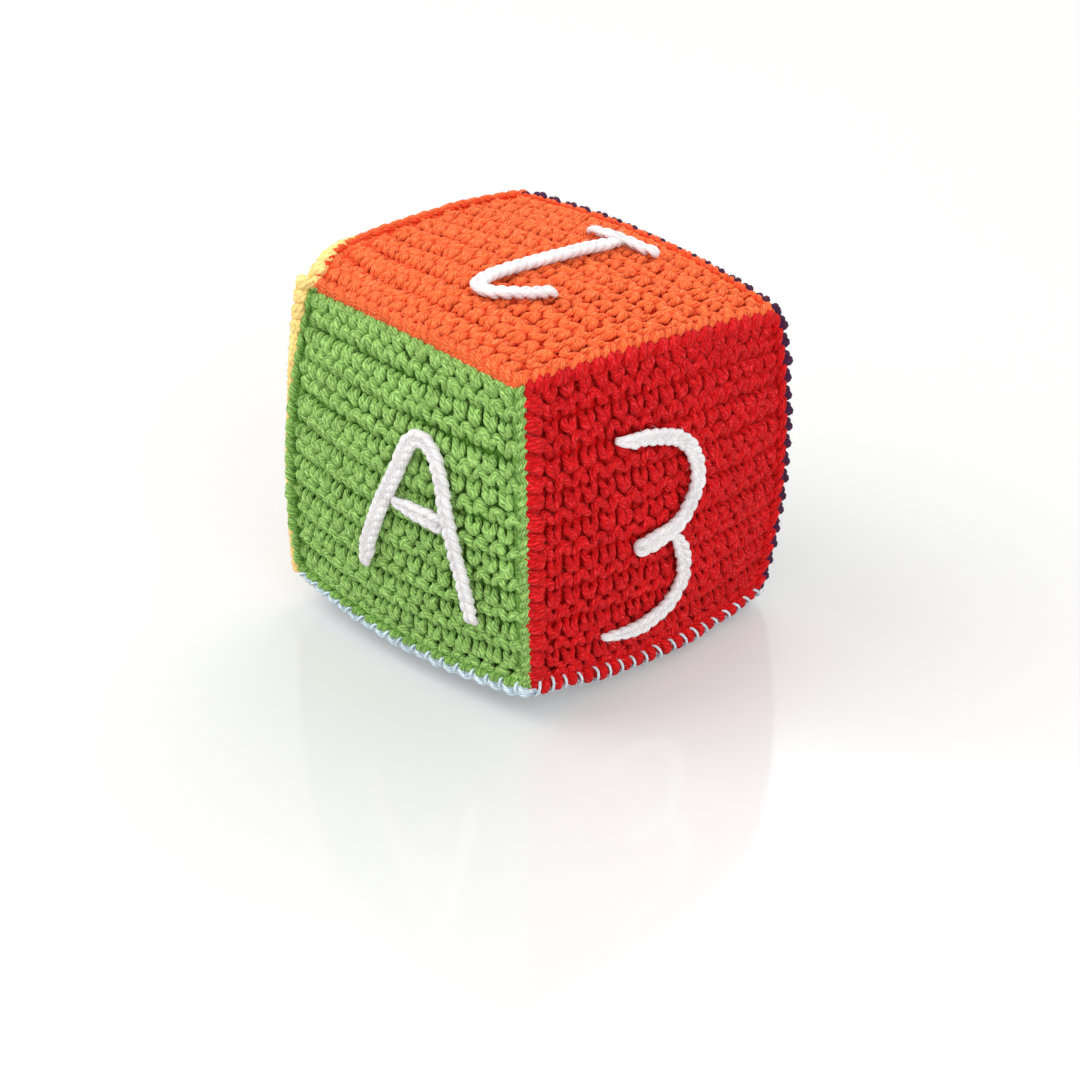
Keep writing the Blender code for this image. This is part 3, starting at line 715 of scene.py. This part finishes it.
def yarn_finish(name, colour, painted_shade_share, ply_share, ply_length=PLY_LENGTH):
    """Plied yarn of dyed cotton, spun soft and left matt.

    To the eye it is soft and slightly furred: round plies slant across it, with painted shade between them,
    paler fibres lie along them as a painted highlight, the dye varies from place to place, and yarn that
    lies deep between the stitches is painted darker and deeper in colour, a painted shade for the light that
    reaches it only by way of its neighbours.

    The plies are a wave that climbs once round the yarn in each ply length. The fibres are noise drawn
    out along the plies. The finest of it is some five times as coarse as real cotton, so that it shows.
    """
    material = bare_material(name)
    tree = material.node_tree
    place = add_node(tree, "ShaderNodeUVMap", {"uv_map": "Yarn"})
    split = add_node(tree, "ShaderNodeSeparateXYZ", links={"Vector": place.outputs["UV"]})
    along = add_node(tree, "ShaderNodeMath", {"operation": "MULTIPLY", 1: 1 / ply_length},
                     {0: split.outputs["X"]})
    climb = add_node(tree, "ShaderNodeMath", {"operation": "ADD"},
                     {0: split.outputs["Y"], 1: along.outputs[0]})
    turns = add_node(tree, "ShaderNodeMath", {"operation": "MULTIPLY", 1: 2 * math.pi * PLIES},
                     {0: climb.outputs[0]})
    wave = add_node(tree, "ShaderNodeMath", {"operation": "COSINE"}, {0: turns.outputs[0]})
    fibre_place = add_node(tree, "ShaderNodeCombineXYZ",
                           links={"X": climb.outputs[0], "Y": along.outputs[0]})
    fibre_scale = add_node(tree, "ShaderNodeVectorMath", {"operation": "MULTIPLY", 1: FIBRE_CELLS},
                           {0: fibre_place.outputs[0]})
    fibres = add_node(tree, "ShaderNodeTexNoise", {"Scale": 1.0, "Detail": 3.0, "Roughness": 0.65},
                      {"Vector": fibre_scale.outputs[0]})
    spot = add_node(tree, "ShaderNodeTexCoord")
    dye = add_node(tree, "ShaderNodeTexNoise", {"Scale": 1 / DYE_PATCH, "Detail": 2.0, "Roughness": 0.5},
                   {"Vector": spot.outputs["Object"]})
    depth = add_node(tree, "ShaderNodeAttribute", {"attribute_name": "depth"})

    # From where to where each pattern is read, and the shares that its two ends are turned into. Shade is
    # the painted shade of deep yarn, stray and lit paint the pale highlight of stray fibres and of fibres on
    # top of the yarn, and ply paints shade between the plies and light on their crests; patch and grain are
    # the yarn's own
    spans = {
        "shade": (depth.outputs["Fac"], -2.4, -0.6, 0.0, 1.0),
        "stray": (depth.outputs["Fac"], 0.4, 0.9, 0.0, 1.0),
        "ply": (wave.outputs[0], -1.0, 0.3, 1 - 0.4 * ply_share, 1.08),
        "grain": (fibres.outputs["Fac"], 0.33, 0.67, 1 - 0.6 * ply_share, 1 + 0.5 * ply_share),
        "patch": (dye.outputs["Fac"], 0.3, 0.7, 0.90, 1.08),
        "lit": (fibres.outputs["Fac"], 0.5, 0.7, 0.0, 0.3),
    }
    read = {key: add_node(tree, "ShaderNodeMapRange",
                          dict(zip(("From Min", "From Max", "To Min", "To Max"), ends)),
                          {"Value": source}).outputs[0]
            for key, (source, *ends) in spans.items()}
    grained = add_node(tree, "ShaderNodeMath", {"operation": "MULTIPLY"},
                       {0: read["patch"], 1: read["grain"]})
    # Dye patches and grain are the yarn's own; the ply share is painted shade between the plies and painted
    # light on their crests
    light = add_node(tree, "ShaderNodeMath", {"operation": "MULTIPLY"},
                     {0: grained.outputs[0], 1: read["ply"]})
    # Painted highlight: paler fibres on top of the yarn, where its painted shade is lightest, and every
    # stray fibre
    shown = add_node(tree, "ShaderNodeMath", {"operation": "MULTIPLY"},
                     {0: read["lit"], 1: read["shade"]})
    painted_highlight = add_node(tree, "ShaderNodeMath", {"operation": "MAXIMUM"},
                     {0: shown.outputs[0], 1: read["stray"]})

    # Painted shade: deep yarn takes a darker, deeper colour, as light that comes by way of other strands is
    # dyed again; painted highlight: single fibres are painted paler, as if they let white through
    deep = tuple(painted_shade_share * c * (c / max(colour)) ** PAINTED_SHADE_POWER for c in colour)
    pale = tuple(min(1.0, c + PAINTED_HIGHLIGHT_SHARE * max(colour)) for c in colour)
    # Mix from the painted shade's colour to the yarn's own colour by how near the top the yarn lies
    dyed = add_node(tree, "ShaderNodeMix", {"data_type": "RGBA", 6: (*deep, 1.0), 7: (*colour, 1.0)},
                    {0: read["shade"]})
    # Mix in the pale colour of the painted highlight
    furred = add_node(tree, "ShaderNodeMix", {"data_type": "RGBA", 7: (*pale, 1.0)},
                      {0: painted_highlight.outputs[0], 6: dyed.outputs[2]})
    tone = add_node(tree, "ShaderNodeVectorMath", {"operation": "SCALE"},
                    {0: furred.outputs[2], "Scale": light.outputs[0]})
    ply_bump = add_node(tree, "ShaderNodeBump", {"Strength": ply_share, "Distance": PLY_RELIEF},
                        {"Height": wave.outputs[0]})
    fibre_bump = add_node(tree, "ShaderNodeBump", {"Strength": 0.9, "Distance": FIBRE_RELIEF},
                          {"Height": fibres.outputs["Fac"], "Normal": ply_bump.outputs[0]})
    shader = add_node(tree, "ShaderNodeBsdfPrincipled",
                      {"Roughness": 0.85, "IOR": 1.5, "Specular IOR Level": 0.2, "Sheen Weight": 0.10,
                       "Sheen Roughness": 0.5, "Sheen Tint": (*(min(1.0, 0.10 + c) for c in colour), 1.0)},
                      {"Base Color": tone.outputs[0], "Normal": fibre_bump.outputs[0]})
    add_node(tree, "ShaderNodeOutputMaterial", links={"Surface": shader.outputs[0]})
    return material


def finish_for(colour_name):
    """Give the yarn finish of a colour, made once."""
    name = "plied cotton yarn " + colour_name
    colour = getattr(bpy.context.scene.soft_block_colours, colour_name)
    return bpy.data.materials.get(name) or yarn_finish(name, colour, *YARN_PAINTED_SHADE_AND_PLIES[colour_name])


def fibre_finish(colour):
    """Carded polyester fibre: white and soft, in long loose streaks with hardly a twist."""
    return yarn_finish("polyester fibre", colour, *FIBRE_PAINTED_SHADE_AND_PLIES, CARDED_LENGTH)


def floor_finish(colour):
    """Opal acrylic sheet, cast glossy: to the eye it mirrors the block and glows pale below it."""
    material = bare_material("glossy opal acrylic")
    shader = add_node(material.node_tree, "ShaderNodeBsdfPrincipled",
                      {"Base Color": (*colour, 1.0), "Roughness": 0.10, "IOR": 1.49,
                       "Specular IOR Level": 0.4, "Emission Color": (1.0, 1.0, 1.0, 1.0),
                       "Emission Strength": 0.19})
    add_node(material.node_tree, "ShaderNodeOutputMaterial", links={"Surface": shader.outputs[0]})
    return material


def seam_line(skin, panel, neighbour, spread, sink, steps):
    """Run a line beside a panel's edge, from corner to corner, with the ways out of it and over the edge.

    It lies at the spread from the edge and at the sink below the skin. The way out is the way in which
    the skin's layers stack, and the way over the edge is square to it and to the line.
    """
    normal, other = PANEL_FRAMES[panel][0], PANEL_FRAMES[neighbour][0]
    share = np.linspace(-1, 1, steps + 1) * (1 - spread / skin.half / 2)
    cube = normal + other * (1 - spread / skin.half) + share[:, None] * np.abs(np.cross(normal, other))
    line = skin.place(cube, -sink)
    out = unit(skin.place(cube, 1 * MM) - skin.place(cube, 0.0))
    side = unit(np.cross(np.gradient(line, axis=0), out))
    return line, out, side


def edging(skin, yarn, panel, neighbour, shares, uneven, swell):
    """Wind the edge stitches of a panel along the seam that it shares with its neighbour.

    Strands wind round their line as a helix, so many turns for each stitch. The helix's radius and the
    depth of its line are scaled by how boldly the stitches stand out, and each bold turn swells where it
    is on top. The seam's own chances, one for each stitch, shift and swell the turns alike for both
    panels. The line's ends dive into the corners. A plain strand fills the helix, but a single strand is
    the sewing thread, which has none.
    """
    boldness, spread, sink, thick, winding, strands = shares
    turns = yarn.stitches
    steps = EDGING_STEPS * turns
    taper = EDGING_TAPER_SHARES.get((panel, neighbour), (1.0, 1.0, 1.0, 1.0))
    bold = boldness * np.interp(np.linspace(0, 1, steps + 1), EDGING_TAPER_PLACES, taper)
    line, out, side = seam_line(
        skin, panel, neighbour, spread * yarn.seam_spread, bold * sink * yarn.seam_sink, steps)
    stitch = np.linspace(0, turns, steps + 1)
    knots = np.arange(turns + 1)
    turn = 2 * math.pi * (winding * (stitch + np.interp(stitch, knots, uneven))
                          + np.array(STRAND_TURNS[strands])[:, None])
    lump = 1 + EDGING_LUMP_SHARE * bold**2 * np.cos(turn[0]) if strands > 1 else 1.0
    coil = (bold * np.interp(stitch, knots, swell) * lump * yarn.seam_coil_radius)[:, None]
    dive = np.maximum(np.abs(stitch / turns * 2 - 1) - (1 - EDGING_DIVE_SHARE), 0.0) / EDGING_DIVE_SHARE
    line = line - EDGING_DIVE * dive[:, None] ** 2 * out
    lines = line + coil * (np.cos(turn)[..., None] * out
                           + EDGING_WIDTH_SHARE * np.sin(turn)[..., None] * side)
    radius = yarn.seam_yarn_radius * thick * (0.5 + 0.5 * np.minimum(bold, EDGING_BOLDEST)) * lump
    part = sweep(lines, radius, out[0])
    if strands == 1:
        return [shaded(part, "sewing thread")]
    # Each turn is painted darker below and lighter where it is on top or leans over the neighbour: painted
    # shade
    over = np.sign(np.sum(side * PANEL_FRAMES[neighbour][0], axis=-1))
    low, rise = EDGING_PAINTED_SHADE_DEPTHS
    height = low + rise * np.maximum(np.cos(turn), over * np.sin(turn))
    part["depth"] = np.repeat(height.ravel(), STRAND_SIDES)
    core = sweep(line[None], EDGING_CORE_SHARE * coil[:, 0] + EDGING_CORE_LEAST, out[0])
    return [part, shaded(core, "edging core")]


def seam_core(skin, yarn, panel, neighbour):
    """Fill the seam between two edgings with one thick strand, its own radius below the block's edge."""
    line, out, _ = seam_line(skin, panel, neighbour, 0.0, yarn.seam_core_radius, SEAM_CORE_STEPS)
    return shaded(sweep(line[None], yarn.seam_core_radius, out[0]), "seam core")


def figure_line(skin, yarn, name):
    """Run a figure's cord through its marks over its panel, before its ends are cut back."""
    panel, _, _, marks = FIGURE_ROUTE_SHARES[name]
    route = smooth_curve(np.array(marks), FIGURE_STEPS) * skin.half
    height = yarn.cord_gap + yarn.cord_height / 2
    return skin.on_panel(panel, route[:, 0], route[:, 1], height)


def cut_back(line, other, yarn):
    """Find how much of a cord's start to cut so that it seats against the side of another cord.

    What its end still lacks of half a width and a gap, square to the other cord, is divided by the sine
    of the angle at which the two meet.
    """
    gaps = np.linalg.norm(other - line[0], axis=1)
    nearest = min(max(int(np.argmin(gaps)), 1), len(other) - 2)
    other_way = unit(other[nearest + 1] - other[nearest - 1])
    own_way = unit(line[2] - line[0])
    slant = abs(float(own_way @ other_way))
    reach = np.linalg.norm(square_to(line[0] - other[nearest], other_way))
    wanted = yarn.cord_width / 2 + yarn.cord_gap
    return max((wanted - reach) / math.sqrt(1 - slant**2), 0.0)


def chain_cord(skin, yarn, name, chance):
    """Crochet a figure's chain cord: one V-shaped loop of yarn after another, each out of the last.

    A loop's marks, joined by a smooth curve, are laid along the cord's route, across it and up from it,
    and repeated once for each stitch. The first and last loops are drawn in. A plain strand fills the
    cord below them.
    """
    panel, start_stop, end_stop, _ = FIGURE_ROUTE_SHARES[name]
    line = figure_line(skin, yarn, name)
    marks = distances_along(line)
    first = cut_back(line, figure_line(skin, yarn, start_stop), yarn) if start_stop else 0.0
    last = marks[-1] - (cut_back(line[::-1], figure_line(skin, yarn, end_stop), yarn) if end_stop else 0.0)
    stitches = max(round((last - first) / yarn.cord_stitch) - 1, 1)
    pitch = (last - first) / (stitches + 0.5)
    way = unit(np.gradient(line, axis=0))
    side = unit(np.cross(PANEL_FRAMES[panel][0], way))
    out = np.cross(way, side)
    shares = smooth_curve(np.array(CHAIN_STITCH_SHARES), STITCH_STEPS)
    links = np.arange(stitches)[:, None]
    loose = chance.normal(0.0, CHAIN_HAND, (3, stitches, 1))
    spare = CHAIN_END_SHARE * yarn.chain_yarn_radius
    along = np.clip(first + (links + CHAIN_START_SHARE + shares[:, 0] + loose[0]) * pitch,
                    first + spare, last - spare)
    first_draw, last_draw = CHAIN_DRAW_SHARES
    slim = 1 - first_draw * (links == 0) - last_draw * (links == stitches - 1)
    widths = CORD_WIDTH_SHARES.get(name, (1.0, 1.0, 1.0))
    wide = np.interp(np.linspace(0, 1, stitches), CORD_WIDTH_PLACES, widths)[:, None]
    reach = (yarn.cord_width / 2 - yarn.chain_yarn_radius) / CHAIN_WIDEST_SHARE
    across = (shares[:, 1] * reach * slim + loose[1] * yarn.cord_width / 2) * wide
    lift = (shares[:, 2] + loose[2]) * (yarn.cord_height / 2)
    lines = (read_along(along, marks, line) + across[..., None] * read_along(along, marks, side)
             + lift[..., None] * read_along(along, marks, out))
    part = sweep(lines, yarn.chain_yarn_radius * (0.85 + 0.15 * slim) * (0.5 + 0.5 * wide), OFF_CHAIN)
    # Each loop is painted darker where it lies low and lighter on top: painted shade read from its depth
    low, rise = CHAIN_PAINTED_SHADE_DEPTHS
    height = np.broadcast_to(low + rise * shares[:, 2], (stitches, len(shares)))
    part["depth"] = np.repeat(height.ravel(), STRAND_SIDES)
    inside = np.linspace(first + yarn.chain_yarn_radius, last - yarn.chain_yarn_radius, 2 * stitches + 1)
    inner = read_along(inside, marks, line + CHAIN_CORE_RISE * out)
    core_wide = np.interp(np.linspace(0, 1, len(inner)), CORD_WIDTH_PLACES, widths)
    core = sweep(inner[None], CHAIN_CORE_RADIUS * core_wide, out[0])
    return [part, shaded(core, "cord core")]


class SOFTBLOCK_OT_filling(bpy.types.Operator):
    """Stuff the block with polyester fibre"""
    bl_idname = "soft_block.filling"
    bl_label = "Make the filling"

    def execute(self, context):
        """Lay a lumpy closed cube of the block's own swollen form below the panels.

        Six grids cover a cube and share the points on its edges. A lump is the product of a sine of
        each coordinate.
        """
        form = context.scene.soft_block_form
        skin = Skin(form)
        sides = len(PANEL_FRAMES)
        span = np.linspace(-1, 1, FILLING_STEPS + 1)
        across, up = np.meshgrid(span, span)
        grids = np.stack([normal + across[..., None] * right + up[..., None] * top
                          for normal, right, top in PANEL_FRAMES.values()]).reshape(-1, 3)
        cube, shared = np.unique(grids.round(6), axis=0, return_inverse=True)
        lump = np.prod(np.sin(cube * FILLING_WAVES + FILLING_SHIFTS), axis=1)
        depth = form.panel_thickness + form.filling_gap + form.filling_lump * (1 - lump) / 2
        index = shared.reshape(sides, *across.shape)
        quads = np.stack((index[:, :-1, :-1], index[:, :-1, 1:], index[:, 1:, 1:], index[:, 1:, :-1]), -1)
        grid = np.stack((across, up), -1) / 2 + 0.5
        places = np.stack((grid[:-1, :-1], grid[:-1, 1:], grid[1:, 1:], grid[1:, :-1]), 2)
        part = shaded({
            "points": skin.place(cube, -depth),
            "quads": quads.reshape(-1, 4),
            "map": np.broadcast_to(places, (sides, *places.shape)).reshape(-1, 2) * 2 * skin.half,
            "lane": np.repeat(np.arange(float(sides)), 4 * FILLING_STEPS**2),
            "lanes": sides,
        }, "filling")
        finish = fibre_finish(context.scene.soft_block_colours.fibre)
        piece = add_piece("fibre_filling", [part], [finish])
        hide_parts("filling")
        return {"FINISHED"}


class SOFTBLOCK_OT_panels(bpy.types.Operator):
    """Crochet the six panels"""
    bl_idname = "soft_block.panels"
    bl_label = "Crochet the panels"

    def execute(self, context):
        """Crochet alternate rows of Vs and of knots over legs, in front of a closed slab of fabric."""
        form, yarn = context.scene.soft_block_form, context.scene.soft_block_yarn
        skin = Skin(form)
        for number, panel in enumerate(PANEL_FRAMES):
            chance = np.random.default_rng(number + 5)
            right_rows = np.arange(1, yarn.rows, 2)
            wrong_rows = np.arange(0, yarn.rows, 2)
            parts = [
                fabric_slab(skin, panel, skin.half - yarn.rim - FABRIC_INSET,
                            (-FABRIC_DEPTH, -form.panel_thickness)),
                crochet(skin, yarn, panel, V_STITCH_SHARES, right_rows, -0.25, chance),
                crochet(skin, yarn, panel, LEG_STITCH_SHARES, wrong_rows, 0.25, chance),
                crochet(skin, yarn, panel, KNOT_STITCH_SHARES, wrong_rows, 0.25, chance),
            ]
            parts += [stray_fibres(parts[1:], FIBRE_COUNTS["panel"], yarn, chance),
                      row_ends(skin, yarn, panel)]
            if panel == "blue":
                press_on_floor(parts)
            piece = add_piece("crochet_" + panel, parts, [finish_for(panel)])
            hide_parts("panel_" + panel)
        return {"FINISHED"}


class SOFTBLOCK_OT_seams(bpy.types.Operator):
    """Sew the twelve seams"""
    bl_idname = "soft_block.seams"
    bl_label = "Sew the seams"

    def execute(self, context):
        """Wind both panels' edge stitches, and the thread where it shows, beside a core along each seam."""
        skin = Skin(context.scene.soft_block_form)
        yarn = context.scene.soft_block_yarn
        for number, (first, second, shown, first_shares, *second_shares) in enumerate(SEAMS):
            chance = np.random.default_rng(number + 101)
            uneven = chance.normal(0.0, SEAM_UNEVEN_SHARE, yarn.stitches + 1)
            swell = chance.normal(1.0, SEAM_SWELL_SHARE, yarn.stitches + 1)
            core = seam_core(skin, yarn, first, second)
            core["finish"] = int((first, second) not in FIRST_CORED_SEAMS)
            parts = [core]
            wound = [(0, first, second, first_shares),
                     *((1, second, first, shares) for shares in second_shares)]
            for finish, panel, neighbour, shares in wound:
                made = edging(skin, yarn, panel, neighbour, shares, uneven, swell)
                made.append(stray_fibres(made[:1], FIBRE_COUNTS["seam"], yarn, chance))
                for part in made:
                    part["finish"] = finish
                parts += made
            press_on_floor(parts)
            piece = add_piece("edging_" + first + "_" + second, parts,
                              [finish_for(first), finish_for(second)])
            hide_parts("seam_" + first + "_" + second)
        return {"FINISHED"}


class SOFTBLOCK_OT_figures(bpy.types.Operator):
    """Crochet the chain cords of the figures"""
    bl_idname = "soft_block.figures"
    bl_label = "Sew on the figures"

    def execute(self, context):
        """Lay each chain cord along its route over its panel."""
        skin = Skin(context.scene.soft_block_form)
        yarn = context.scene.soft_block_yarn
        for number, name in enumerate(FIGURE_ROUTE_SHARES):
            chance = np.random.default_rng(number + 301)
            parts = chain_cord(skin, yarn, name, chance)
            parts.append(stray_fibres(parts[:1], FIBRE_COUNTS["cord"], yarn, chance))
            piece = add_piece("chain_" + name, parts, [finish_for("white")])
            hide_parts(name)
        return {"FINISHED"}


class SOFTBLOCK_OT_stage(bpy.types.Operator):
    """Lay the floor and set the lights and the camera"""
    bl_idname = "soft_block.stage"
    bl_label = "Set the stage"

    def execute(self, context):
        """Place a plain glossy floor, a soft white surround, three soft lights and the camera."""
        stage = context.scene.soft_block_stage
        mesh = bpy.data.meshes.new("floor")
        corners = [(FLOOR_REACH * x, FLOOR_REACH * y, 0) for x, y in ((-1, -1), (1, -1), (1, 1), (-1, 1))]
        mesh.from_pydata(corners, [], [(0, 1, 2, 3)])
        mesh.materials.append(floor_finish(context.scene.soft_block_colours.floor))
        add_object("floor", mesh)
        world = bpy.data.worlds.new("white studio")
        world.use_nodes = True
        surround = world.node_tree.nodes["Background"]
        surround.inputs["Color"].default_value = SURROUND_COLOUR
        surround.inputs["Strength"].default_value = SURROUND_STRENGTH
        context.scene.world = world
        context.scene.view_settings.view_transform = "Standard"
        middle = Vector((0.0, 0.0, -Skin(context.scene.soft_block_form).floor))
        for name, (place, size, power) in LAMPS.items():
            lamp = bpy.data.lights.new(name, "AREA")
            lamp.size = size
            lamp.energy = power
            light = add_object(name, lamp)
            light.location = place
            light.rotation_euler = (middle - Vector(place)).to_track_quat("-Z", "Y").to_euler()
        turn, rise = stage.azimuth, stage.elevation
        back = Vector((math.sin(turn) * math.cos(rise), -math.cos(turn) * math.cos(rise), math.sin(rise)))
        right = (-back).cross(Vector((0, 0, 1))).normalized()
        up = right.cross(-back)
        aim = middle + right * stage.aim_right - up * stage.aim_below
        camera = add_object("camera", bpy.data.cameras.new("camera"))
        camera.data.sensor_width = IMAGE_SENSOR_MM
        camera.data.lens = IMAGE_SENSOR_MM * stage.lens_widths
        camera.data.clip_start = NEAREST_SHOWN
        camera.location = aim + back * stage.distance
        camera.rotation_euler = (-back).to_track_quat("-Z", "Y").to_euler()
        context.scene.camera = camera
        return {"FINISHED"}


OPERATORS = (
    SOFTBLOCK_OT_stage,
    SOFTBLOCK_OT_filling,
    SOFTBLOCK_OT_panels,
    SOFTBLOCK_OT_seams,
    SOFTBLOCK_OT_figures,
)


class SOFTBLOCK_PT_sidebar(bpy.types.Panel):
    """The block's pieces, in the order in which they are made"""
    bl_idname = "SOFTBLOCK_PT_sidebar"
    bl_label = "Soft block"
    bl_space_type = "VIEW_3D"
    bl_region_type = "UI"
    bl_category = "Soft block"

    def draw(self, context):
        """List the operators, then the sizes and colours."""
        for operator in OPERATORS:
            self.layout.operator(operator.bl_idname)
        for group_name, group in PROPERTY_GROUPS.items():
            box = self.layout.box()
            for name in group.__annotations__:
                box.prop(getattr(context.scene, group_name), name)


def register():
    """Register the property groups, operators and panel."""
    for name, group in PROPERTY_GROUPS.items():
        bpy.utils.register_class(group)
        setattr(bpy.types.Scene, name, bpy.props.PointerProperty(type=group))
    for made in (*OPERATORS, SOFTBLOCK_PT_sidebar):
        bpy.utils.register_class(made)


def unregister():
    """Undo register."""
    for made in (SOFTBLOCK_PT_sidebar, *reversed(OPERATORS)):
        bpy.utils.unregister_class(made)
    for name, group in PROPERTY_GROUPS.items():
        delattr(bpy.types.Scene, name)
        bpy.utils.unregister_class(group)


def main():
    """Make every piece in order."""
    register()
    bpy.ops.soft_block.stage()
    bpy.ops.soft_block.filling()
    bpy.ops.soft_block.panels()
    bpy.ops.soft_block.seams()
    bpy.ops.soft_block.figures()


if __name__ == "__main__":
    main()
